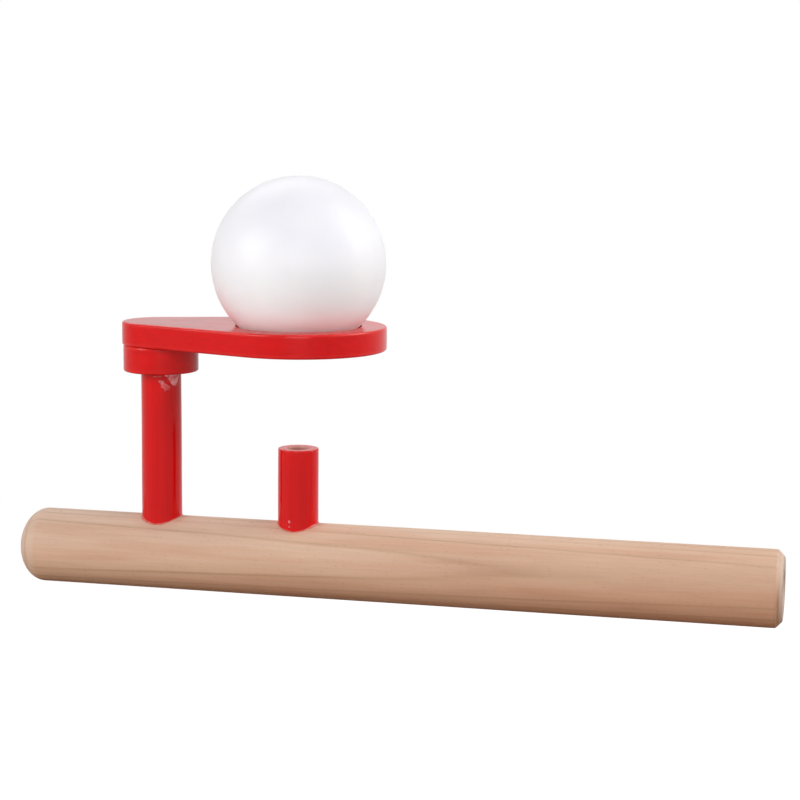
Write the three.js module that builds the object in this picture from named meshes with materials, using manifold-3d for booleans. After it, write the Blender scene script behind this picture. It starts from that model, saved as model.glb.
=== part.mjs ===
// Blow ball pipe: a wooden pipe with an upright air nozzle, and a ring-shaped rest on a post that
// holds a light ball over the jet. Blowing into the chamfered end lifts the ball off its rest.
// Millimetres. +Z is up and +X points along the pipe to the mouth end. The origin is on the pipe's
// axis, in the middle of the bare stretch that the hand holds.
import * as THREE from "three";
import { mergeVertices } from "three/addons/utils/BufferGeometryUtils.js";
import Module from "manifold-3d";

const wasm = await Module();
wasm.setup();

// Driving dimensions: the pipe
const pipeLength = 180;
const pipeDiameter = 17.5;
const domeDepth = 6;
const mouthChamfer = 1.9;
const blowBoreDiameter = 8;
const blowBoreEase = 0.5;
const blowBoreRunOn = 1.5;

// The post, and how deep it is let into the pipe and into the plate
const postDiameter = 9.4;
const postFromDomeTip = 35;
const postClearHeight = 34.4;
const postSeatDepth = 7;
const postHeadDepth = 3;

// The ball plate on top of the post, and the collar under its narrow end, set back from the plate's edge
const collarSetBack = 0.25;
const collarThickness = 6.2;
const collarEdgeRound = 0.4;
const plateThickness = 5.5;
const plateNarrowRadius = 9;
const plateRingWidth = 5.8;
const plateEdgeRound = 0.5;
const ballFromPost = 33.4;

// The nozzle under the ball
const nozzleDiameter = 9.4;
const nozzleBoreDiameter = 5;
const nozzleClearHeight = 17.6;
const nozzleFloorOverBore = 1.2;
const nozzleRimRound = 0.8;
const nozzleBoreEase = 0.4;

// The ball, two thin half shells welded at the equator, and the hole it rests on as a share of its width
const ballDiameter = 40;
const ballWall = 0.5;
const ballHoleShare = 0.725;

// The beads of glue left round the joints
const collarBeadWidth = 1.1;
const collarBeadHeight = 1.3;
const baseBeadWidth = 0.9;
const baseBeadHeight = 0.8;

// Clearances: dowels in their glued holes, glue beads round them, and the ball over the edge of its hole
const glueGap = 0.3;
const beadGap = 0.3;
const ballSeatGap = 0.3;

// Every cutting tool runs past the face that it cuts by this much
const overrun = 2;

// A drill's conical point, as a share of the drill's diameter
const drillPointShare = 0.3;

// Counts of flats round each form
const pipeSides = 64;
const dowelSides = 48;
const ballSides = 48;
const ballRings = 10;
const domeRings = 10;
const roundSteps = 2;
const rimSteps = 4;
const plateSteps = 24;
const beadSteps = 40;

// Places worked out from the sizes: distances along the pipe from the dome's tip, heights over its axis
const pipeRadius = pipeDiameter / 2;
const postRadius = postDiameter / 2;
const nozzleRadius = nozzleDiameter / 2;
const ballRadius = ballDiameter / 2;
const blowBoreRadius = blowBoreDiameter / 2;
const nozzleBoreRadius = nozzleBoreDiameter / 2;
const ballHoleRadius = ballHoleShare * ballRadius;
const plateWideRadius = ballHoleRadius + plateRingWidth;
const collarRadius = plateNarrowRadius - collarSetBack;
const ballX = postFromDomeTip + ballFromPost;
const gripX = (ballX + pipeLength) / 2;
const postBottom = pipeRadius - postSeatDepth;
const collarBottom = pipeRadius + postClearHeight;
const plateBottom = collarBottom + collarThickness;
const plateTop = plateBottom + plateThickness;
const postTop = plateBottom + postHeadDepth;
const nozzleBottom = blowBoreRadius + nozzleFloorOverBore;
const nozzleTop = pipeRadius + nozzleClearHeight;
const ballCentre = plateTop + Math.sqrt((ballRadius + ballSeatGap) ** 2 - ballHoleRadius ** 2);

const finishes = {
  bareBeech: new THREE.MeshStandardMaterial({ color: 0xcda98f, roughness: 0.6, metalness: 0 }),
  redLacquer: new THREE.MeshStandardMaterial({ color: 0xcf2629, roughness: 0.35, metalness: 0 }),
  whitePlastic: new THREE.MeshStandardMaterial({ color: 0xf3f2f8, roughness: 0.3, metalness: 0 }),
  clearGlue: new THREE.MeshStandardMaterial({ color: 0xe0a49a, roughness: 0.15, metalness: 0 }),
};

// Merges a geometry's shared vertices and drops the triangles that this closes up, as at a lathe's poles.
function welded(geometry) {
  const bare = geometry.clone();
  bare.deleteAttribute("normal");
  bare.deleteAttribute("uv");
  const merged = mergeVertices(bare);
  const kept = [];
  const index = merged.index.array;
  for (let i = 0; i < index.length; i += 3) {
    const [a, b, c] = [index[i], index[i + 1], index[i + 2]];
    if (a !== b && b !== c && c !== a) kept.push(a, b, c);
  }
  merged.setIndex(kept);
  return merged;
}

function solidOf(geometry) {
  const closed = welded(geometry);
  const vertProperties = new Float32Array(closed.attributes.position.array);
  const triVerts = new Uint32Array(closed.index.array);
  return new wasm.Manifold(new wasm.Mesh({ numProp: 3, vertProperties, triVerts }));
}

// The body with every tool cut out of it.
function cut(body, ...tools) {
  let solid = solidOf(body);
  for (const tool of tools) solid = solid.subtract(solidOf(tool));
  const mesh = solid.getMesh();
  const geometry = new THREE.BufferGeometry();
  geometry.setAttribute("position", new THREE.BufferAttribute(new Float32Array(mesh.vertProperties), 3));
  geometry.setIndex(new THREE.BufferAttribute(new Uint32Array(mesh.triVerts), 1));
  return geometry;
}

// A form turned round the upright axis from [radius, height] points, counter-clockwise round its material.
function turned(points, sides) {
  const profile = points.map(([radius, height]) => new THREE.Vector2(radius, height));
  return welded(new THREE.LatheGeometry(profile, sides)).rotateX(Math.PI / 2);
}

// An upright round bar from one height to another.
function bar(radius, low, high, sides) {
  const height = high - low;
  const cylinder = new THREE.CylinderGeometry(radius, radius, height, sides);
  return cylinder.rotateX(Math.PI / 2).translate(0, 0, low + height / 2);
}

// Points of an arc round a centre, from one angle to another, both ends included.
function arc(centreRadius, centreHeight, radius, from, to, steps) {
  const points = [];
  for (let i = 0; i <= steps; i += 1) {
    const angle = from + ((to - from) * i) / steps;
    points.push([centreRadius + radius * Math.cos(angle), centreHeight + radius * Math.sin(angle)]);
  }
  return points;
}

// Turned blank: half an ellipse at the closed end, a straight barrel and a chamfer at the mouth end.
function pipeBlank() {
  const points = [];
  for (let i = 0; i < domeRings; i += 1) {
    const angle = (Math.PI / 2) * (i / domeRings);
    points.push([pipeRadius * Math.sin(angle), domeDepth * (1 - Math.cos(angle))]);
  }
  points.push([pipeRadius, domeDepth]);
  points.push([pipeRadius, pipeLength - mouthChamfer]);
  points.push([pipeRadius - mouthChamfer, pipeLength]);
  points.push([0, pipeLength]);
  return turned(points, pipeSides).rotateY(Math.PI / 2);
}

// The drill that bores the blow hole from the mouth end to just past the nozzle, with its conical point.
function blowBoreTool() {
  const end = ballX - nozzleBoreRadius - blowBoreRunOn;
  const points = [
    [0, end - drillPointShare * blowBoreDiameter],
    [blowBoreRadius, end],
    [blowBoreRadius, pipeLength - blowBoreEase],
    [blowBoreRadius + blowBoreEase + overrun, pipeLength + overrun],
    [0, pipeLength + overrun],
  ];
  return turned(points, dowelSides).rotateY(Math.PI / 2);
}

// The blank, bored, with a blind seat for each dowel and a port from the blow bore up to the nozzle.
function pipeBody() {
  const past = pipeRadius + overrun;
  const postSeat = bar(postRadius + glueGap, postBottom, past, dowelSides).translate(postFromDomeTip, 0, 0);
  const nozzleSeat = bar(nozzleRadius + glueGap, nozzleBottom, past, dowelSides).translate(ballX, 0, 0);
  const port = bar(nozzleBoreRadius, 0, past, dowelSides).translate(ballX, 0, 0);
  return cut(pipeBlank(), blowBoreTool(), postSeat, nozzleSeat, port);
}

function post() {
  return bar(postRadius, postBottom, postTop, dowelSides);
}

// A disc bored for the post, with both outer edges eased.
function collar() {
  const bore = postRadius + glueGap;
  const outside = collarRadius - collarEdgeRound;
  const low = collarBottom + collarEdgeRound;
  const high = plateBottom - collarEdgeRound;
  const points = [
    [bore, collarBottom],
    ...arc(outside, low, collarEdgeRound, -Math.PI / 2, 0, roundSteps),
    ...arc(outside, high, collarEdgeRound, 0, Math.PI / 2, roundSteps),
    [bore, plateBottom],
    [bore, collarBottom],
  ];
  return turned(points, dowelSides);
}

// A teardrop: two arcs and their common tangents, with the hole that the ball rests on, and a blind
// hole from below for the head of the post.
function ballPlate() {
  const tangent = Math.acos((plateNarrowRadius - plateWideRadius) / ballFromPost);
  const outline = new THREE.Shape();
  outline.absarc(ballFromPost, 0, plateWideRadius, -tangent, tangent, false);
  outline.absarc(0, 0, plateNarrowRadius, tangent, 2 * Math.PI - tangent, false);
  const hole = new THREE.Path();
  hole.absarc(ballFromPost, 0, ballHoleRadius, 0, 2 * Math.PI, true);
  outline.holes.push(hole);
  const slab = new THREE.ExtrudeGeometry(outline, {
    depth: plateThickness - 2 * plateEdgeRound,
    curveSegments: plateSteps,
    bevelSize: plateEdgeRound,
    bevelOffset: -plateEdgeRound,
    bevelThickness: plateEdgeRound,
    bevelSegments: roundSteps,
  });
  slab.translate(0, 0, plateBottom + plateEdgeRound);
  return cut(slab, bar(postRadius + glueGap, plateBottom - overrun, postTop, dowelSides));
}

// A bored dowel with a rounded rim. Its foot stands on the floor of its seat, over the port.
function nozzle() {
  const rim = nozzleRadius - nozzleRimRound;
  const points = [
    [nozzleBoreRadius, nozzleBottom],
    [nozzleRadius, nozzleBottom],
    ...arc(rim, nozzleTop - nozzleRimRound, nozzleRimRound, 0, Math.PI / 2, rimSteps),
    [nozzleBoreRadius + nozzleBoreEase, nozzleTop],
    [nozzleBoreRadius, nozzleTop - nozzleBoreEase],
    [nozzleBoreRadius, nozzleBottom],
  ];
  return turned(points, dowelSides);
}

// The half of the ball over its equator, centred on the ball: out along the inside, back along the outside.
function upperShell() {
  const inside = arc(0, 0, ballRadius - ballWall, Math.PI / 2, 0, ballRings);
  const outside = arc(0, 0, ballRadius, 0, Math.PI / 2, ballRings);
  return turned([...inside, ...outside], ballSides);
}

function lowerShell() {
  return upperShell().rotateX(Math.PI);
}

// A ring of glue in the corner under the collar.
function collarBead() {
  const inner = postRadius + beadGap;
  const points = [
    [inner, collarBottom - collarBeadHeight],
    [inner + collarBeadWidth, collarBottom],
    [inner, collarBottom],
    [inner, collarBottom - collarBeadHeight],
  ];
  return turned(points, dowelSides);
}

// A ring of glue in the corner between an upright dowel and the round pipe. Each step round the dowel is
// a triangle whose two lower corners follow the pipe: height = sqrt(R^2 - y^2), with R the pipe's radius
// and the gap under the bead.
function baseBead(dowelRadius) {
  const inner = dowelRadius + beadGap;
  const outer = inner + baseBeadWidth;
  const under = pipeRadius + beadGap;
  const overPipe = (y) => Math.sqrt(under ** 2 - y ** 2);
  const places = [];
  for (let i = 0; i < beadSteps; i += 1) {
    const angle = (2 * Math.PI * i) / beadSteps;
    const [along, across] = [Math.cos(angle), Math.sin(angle)];
    const foot = overPipe(inner * across);
    places.push(inner * along, inner * across, foot);
    places.push(outer * along, outer * across, overPipe(outer * across));
    places.push(inner * along, inner * across, foot + baseBeadHeight);
  }
  const index = [];
  for (let i = 0; i < beadSteps; i += 1) {
    const [here, next] = [3 * i, 3 * ((i + 1) % beadSteps)];
    for (let j = 0; j < 3; j += 1) {
      const k = (j + 1) % 3;
      index.push(here + j, next + j, next + k, here + j, next + k, here + k);
    }
  }
  const geometry = new THREE.BufferGeometry();
  geometry.setAttribute("position", new THREE.Float32BufferAttribute(places, 3));
  geometry.setIndex(index);
  return geometry;
}

// One piece of the toy, placed along the pipe from the dome's tip and over the pipe's axis.
function piece(name, geometry, material, along, above) {
  const mesh = new THREE.Mesh(geometry, material);
  mesh.name = name;
  mesh.position.set(along, 0, above);
  return mesh;
}

const toy = new THREE.Group();
toy.position.x = -gripX;
toy.add(piece("pipe_body", pipeBody(), finishes.bareBeech, 0, 0));
toy.add(piece("post", post(), finishes.redLacquer, postFromDomeTip, 0));
toy.add(piece("collar", collar(), finishes.redLacquer, postFromDomeTip, 0));
toy.add(piece("ball_plate", ballPlate(), finishes.redLacquer, postFromDomeTip, 0));
toy.add(piece("nozzle", nozzle(), finishes.redLacquer, ballX, 0));
toy.add(piece("ball_lower_shell", lowerShell(), finishes.whitePlastic, ballX, ballCentre));
toy.add(piece("ball_upper_shell", upperShell(), finishes.whitePlastic, ballX, ballCentre));
toy.add(piece("collar_glue_bead", collarBead(), finishes.clearGlue, postFromDomeTip, 0));
toy.add(piece("post_glue_bead", baseBead(postRadius), finishes.clearGlue, postFromDomeTip, 0));
toy.add(piece("nozzle_glue_bead", baseBead(nozzleRadius), finishes.clearGlue, ballX, 0));

export default toy;
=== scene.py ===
import bpy
import numpy as np
from mathutils import Matrix, Vector


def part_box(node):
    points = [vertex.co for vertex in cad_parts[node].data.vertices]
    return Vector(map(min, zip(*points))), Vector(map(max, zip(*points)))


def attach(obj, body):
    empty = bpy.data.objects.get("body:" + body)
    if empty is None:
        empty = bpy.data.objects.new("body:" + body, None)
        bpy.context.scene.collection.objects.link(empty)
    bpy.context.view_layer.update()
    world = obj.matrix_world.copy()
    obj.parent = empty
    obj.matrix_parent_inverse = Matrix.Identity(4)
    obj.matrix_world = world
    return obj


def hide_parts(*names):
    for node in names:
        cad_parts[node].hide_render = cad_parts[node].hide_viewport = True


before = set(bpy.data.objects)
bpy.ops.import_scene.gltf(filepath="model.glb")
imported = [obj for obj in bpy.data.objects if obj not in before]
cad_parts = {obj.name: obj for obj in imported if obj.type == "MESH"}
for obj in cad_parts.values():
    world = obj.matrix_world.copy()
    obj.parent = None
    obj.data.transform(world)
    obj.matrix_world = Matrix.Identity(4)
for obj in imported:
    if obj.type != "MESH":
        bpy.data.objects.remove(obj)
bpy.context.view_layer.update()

# The blow ball pipe toy: a bare beech pipe with two red lacquered dowels, a red collar and teardrop
# plate on the taller one, and a white ball that rests in the plate's hole over the shorter one.
# Sizes here are metres. MM turns a size in millimetres into metres.
MM = 0.001
QUARTER = np.pi / 2

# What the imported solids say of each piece: the pipe along X, the dowels and the ball along Z
pipe_low, pipe_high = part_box("pipe_body")
post_low, post_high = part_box("post")
collar_low, collar_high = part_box("collar")
plate_low, plate_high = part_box("ball_plate")
nozzle_low, nozzle_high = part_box("nozzle")
ball_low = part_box("ball_lower_shell")[0]
ball_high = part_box("ball_upper_shell")[1]

PIPE_RADIUS = pipe_high.z
POST_X = (post_low.x + post_high.x) / 2
POST_RADIUS = (post_high.x - post_low.x) / 2
COLLAR_RADIUS = (collar_high.x - collar_low.x) / 2
NOZZLE_X = (nozzle_low.x + nozzle_high.x) / 2
NOZZLE_RADIUS = (nozzle_high.x - nozzle_low.x) / 2
BALL_RADIUS = (ball_high.z - ball_low.z) / 2
BALL_Z = (ball_high.z + ball_low.z) / 2
PLATE_NARROW_RADIUS = POST_X - plate_low.x
PLATE_WIDE_RADIUS = plate_high.x - NOZZLE_X

# Sizes that the boxes don't give. The chamfer is a shade narrower than the one on the solids.
DOME_DEPTH = 6 * MM
MOUTH_CHAMFER = 1.5 * MM
BLOW_BORE_RADIUS = 4 * MM
BLOW_BORE_EASE = 0.5 * MM
BLOW_BORE_PAST_NOZZLE = 4 * MM
DRILL_POINT = 2.4 * MM
NOZZLE_BORE_RADIUS = 2.5 * MM
NOZZLE_RIM_ROUND = 0.22 * MM
NOZZLE_BORE_EASE = 0.3 * MM
PLATE_HOLE_RADIUS = 14.5 * MM
PLATE_EDGE_ROUND = 0.5 * MM
PLATE_HOLE_ROUND = 0.2 * MM
COLLAR_EDGE_ROUND = 0.45 * MM
COLLAR_UNDER_PLATE = 0.02 * MM
DOWEL_END_ROUND = 0.4 * MM
SEAT_SLACK = 0.03 * MM

# Two points nearer than this are one, and an edge that turns by more than this is drawn sharp
SAME_POINT = 1e-8
SHARP_TURN = np.radians(40)


def turned(name, profile, at, along="Z", sides=192, closed=False, waver=None):
    """A profile of (height, radius) points swept round an axis through the point at. Row i, column j lies at
    height h(i) and angle a(j), at radius r(i) + waver(h, a). An open profile starts and ends on the axis, and
    a closed one is a section that joins up with its start."""
    height, radius = np.asarray(profile, float).T[:, :, None]
    angle = np.linspace(0, 2 * np.pi, sides, endpoint=False)[None, :]
    if waver is not None:
        radius = radius + np.where(radius > 0, waver(height, angle), 0)
    across, over, rise = radius * np.cos(angle), radius * np.sin(angle), height + 0 * angle
    order = {"Z": (across, over, rise), "X": (rise, across, over)}[along]
    return skin(name, np.stack(order, -1) + np.asarray(at), closed)


def skin(name, grid, closed_rows):
    """A closed mesh on a grid of points, one row to each step along a section and one column to each step
    round it. Columns wrap round, rows wrap round where closed_rows says, and a row whose points all meet
    becomes one pole point with triangles. Faces are turned to point outwards by the sign of the volume."""
    rows, columns = grid.shape[:2]
    points = grid.reshape(-1, 3)
    index = np.arange(rows * columns).reshape(rows, columns)
    pole = np.ptp(grid, axis=1).max(1) < SAME_POINT
    index[pole] = index[pole, :1]
    upper = np.roll(index, -1, 0) if closed_rows else index[1:]
    lower = index if closed_rows else index[:-1]
    quads = np.stack([lower, np.roll(lower, -1, 1), np.roll(upper, -1, 1), upper], -1).reshape(-1, 4)
    middle = points[quads].mean(1)
    normal = np.cross(points[quads[:, 2]] - points[quads[:, 0]], points[quads[:, 3]] - points[quads[:, 1]])
    if (middle * normal).sum() < 0:
        quads = quads[:, ::-1]
    kept = quads != np.roll(quads, 1, 1)
    used, corners = np.unique(quads[kept], return_inverse=True)
    sizes = kept.sum(1)
    mesh = bpy.data.meshes.new(name)
    mesh.vertices.add(len(used))
    mesh.vertices.foreach_set("co", points[used].ravel())
    mesh.loops.add(len(corners))
    mesh.loops.foreach_set("vertex_index", corners.ravel().astype(np.int32))
    mesh.polygons.add(len(sizes))
    mesh.polygons.foreach_set("loop_start", (np.cumsum(sizes) - sizes).astype(np.int32))
    mesh.polygons.foreach_set("use_smooth", np.ones(len(sizes), bool))
    mesh.update(calc_edges=True)
    piece = bpy.data.objects.new(name, mesh)
    bpy.context.scene.collection.objects.link(piece)
    return piece


def eased(corners, rounds, closed=False, steps=7, support=0.12 * MM):
    """A sharp outline of (height, radius) corners with each corner rounded by its own radius. A corner turns
    into an arc that touches both its sides, with one more point on each side a little way off, so that the
    smooth shading of the flat stretch between two corners stays flat. A round of zero keeps the corner."""
    points = np.asarray(corners, float)
    rounds = np.asarray(rounds, float)
    back = np.roll(points, 1, 0) - points
    ahead = np.roll(points, -1, 0) - points
    back /= np.linalg.norm(back, axis=1, keepdims=True)
    ahead /= np.linalg.norm(ahead, axis=1, keepdims=True)
    half = np.arccos(np.clip((back * ahead).sum(1), -1, 1)) / 2
    reach = (rounds / np.tan(half))[:, None]
    inward = back + ahead
    inward /= np.maximum(np.linalg.norm(inward, axis=1, keepdims=True), SAME_POINT)
    centre = points + inward * (rounds / np.sin(half))[:, None]
    start = points + back * reach - centre
    end = points + ahead * reach - centre
    turn = np.pi - 2 * half
    share = np.linspace(0, 1, steps)[None, :, None]
    angle = turn[:, None, None]
    arc = np.sin((1 - share) * angle) * start[:, None] + np.sin(share * angle) * end[:, None]
    arc = arc / np.sin(angle) + centre[:, None]
    before = points + back * (reach + support)
    after = points + ahead * (reach + support)
    full = np.concatenate([before[:, None], arc, after[:, None]], 1)
    sharp = rounds == 0
    full[sharp] = points[sharp, None]
    if not closed:
        full[0] = points[0]
        full[-1] = points[-1]
    flat = full.reshape(-1, 2)
    far = np.linalg.norm(flat - np.roll(flat, 1, 0), axis=1) > SAME_POINT
    far[0] = far[0] or not closed
    return flat[far]


def divided(profile, step):
    """The same outline with a point at least every step along it."""
    profile = np.asarray(profile, float)
    run = np.concatenate([[0], np.cumsum(np.linalg.norm(np.diff(profile, axis=0), axis=1))])
    marks = np.union1d(run, np.arange(0, run[-1], step))
    marks = marks[np.concatenate([[True], np.diff(marks) > SAME_POINT])]
    return np.stack([np.interp(marks, run, profile[:, 0]), np.interp(marks, run, profile[:, 1])], -1)


def cut_from(piece, *tools):
    """Cuts the tools out of the piece for good and deletes them."""
    for tool in tools:
        cut = piece.modifiers.new("cut", "BOOLEAN")
        cut.operation = "DIFFERENCE"
        cut.solver = "EXACT"
        cut.object = tool
    graph = bpy.context.evaluated_depsgraph_get()
    mesh = bpy.data.meshes.new_from_object(piece.evaluated_get(graph))
    piece.modifiers.clear()
    piece.data = mesh
    mesh.name = piece.name
    for tool in tools:
        bpy.data.objects.remove(tool)


def dress(piece, body, slot, replaced, *materials):
    """Gives a finished piece its materials, its body and the CAD nodes that it stands for. slot is not used.
    """
    for material in materials:
        piece.data.materials.append(material)
    piece.data.set_sharp_from_angle(angle=SHARP_TURN)
    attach(piece, body)
    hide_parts(*replaced)


# The camera, at the photograph's angle
CAMERA_PLACE = Vector((72.924, -446.771, 104.892)) * MM
CAMERA_YAW = np.radians(-13.185)
CAMERA_PITCH = np.radians(-8.226)
CAMERA_ROLL = np.radians(0.519)
CAMERA_LENS = 91.51
CAMERA_SENSOR = 36


def make_camera():
    """Looks along yaw, measured from +Y towards +X, and pitch over the horizon, then rolls anticlockwise."""
    data = bpy.data.cameras.new("camera")
    data.lens = CAMERA_LENS
    data.sensor_width = CAMERA_SENSOR
    data.clip_start = 10 * MM
    data.clip_end = 10000 * MM
    camera = bpy.data.objects.new("camera", data)
    bpy.context.scene.collection.objects.link(camera)
    bpy.context.scene.camera = camera
    turn = Matrix.Rotation(-CAMERA_YAW, 3, "Z") @ Matrix.Rotation(QUARTER + CAMERA_PITCH, 3, "X")
    turn = turn @ Matrix.Rotation(CAMERA_ROLL, 3, "Z")
    camera.matrix_world = Matrix.Translation(CAMERA_PLACE) @ turn.to_4x4()


def colour(code):
    """An sRGB hex colour, such as "cda98f", as linear light with full opacity."""
    value = np.array([int(code[i:i + 2], 16) for i in (0, 2, 4)]) / 255
    linear = np.where(value <= 0.04045, value / 12.92, ((value + 0.055) / 1.055) ** 2.4)
    return (*linear.tolist(), 1)


def add(tree, kind, inputs=None, stops=None, **settings):
    """Adds a node with its settings. inputs gives each socket, by name or number, a value, another node's
    output, or another node, whose first output is linked. stops gives a colour ramp's places and colours."""
    node = tree.nodes.new(kind)
    for name, value in settings.items():
        setattr(node, name, value)
    for socket, value in (inputs or {}).items():
        if isinstance(value, bpy.types.Node):
            value = value.outputs[0]
        if isinstance(value, bpy.types.NodeSocket):
            tree.links.new(value, node.inputs[socket])
        else:
            node.inputs[socket].default_value = value
    if stops:
        band = node.color_ramp.elements
        while len(band) < len(stops):
            band.new(1)
        for element, (place, value) in zip(band, stops):
            element.position = place
            element.color = value if isinstance(value, tuple) else (value, value, value, 1)
    return node


# The sockets of a Mix node for colours, whose names the ones for numbers share, and its two settings: one
# colour laid over another by a share, and one colour tinted by another
SHARE = 0
FIRST = 6
SECOND = 7
BLENDED = 2
OVER = {"data_type": "RGBA", "blend_type": "MIX"}
TINT = {"data_type": "RGBA", "blend_type": "MULTIPLY"}


def blank(name):
    """A new material with an empty tree: the material, its tree and its output node."""
    material = bpy.data.materials.new(name)
    material.use_nodes = True
    tree = material.node_tree
    tree.nodes.clear()
    return material, tree, tree.nodes.new("ShaderNodeOutputMaterial")


def stretched(tree, along, across, through=None, place=(0, 0, 0), turn=(0, 0, 0)):
    """Object coordinates divided by a pattern's real size along X, Y and Z, after a shift and a turn."""
    source = add(tree, "ShaderNodeTexCoord").outputs["Object"]
    moved = add(tree, "ShaderNodeMapping", {"Vector": source, "Location": place, "Rotation": turn})
    through = across if through is None else through
    scale = (1 / along, 1 / across, 1 / through)
    return add(tree, "ShaderNodeMapping", {"Vector": moved, "Scale": scale})


# The pith of the tree: a line behind and below the pipe that runs nearly along it, with the width of a
# year's ring, how far the rings waver in widths, and how far the pink round a dowel's foot reaches
PITH_RISE = np.radians(13)
PITH_FACING = Vector((0, -np.cos(PITH_RISE), np.sin(PITH_RISE)))
PITH_DEPTH = 40.31 * MM
PITH_SLOPE = -0.0155
PITH_WAY = (Vector((1, 0, 0)) - PITH_SLOPE * PITH_FACING).normalized()
RING_WIDTH = 1.9 * MM
RING_WAVER = 0.22
PINK_REACH = 3.2 * MM

# A size so large that a pattern doesn't change along that axis
ENDLESS = 1e9


def near_dowel(tree, x, radius, reach):
    """1 at the foot of an upright dowel at x, fading to 0 at reach from its side."""
    spot = stretched(tree, 1, 1, ENDLESS, place=(-x, 0, 0))
    far = add(tree, "ShaderNodeVectorMath", {0: spot}, operation="LENGTH").outputs["Value"]
    return add(tree, "ShaderNodeMapRange",
               {"Value": far, "From Min": radius, "From Max": radius + reach, "To Min": 1.0, "To Max": 0.0},
               interpolation_type="SMOOTHSTEP")


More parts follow.
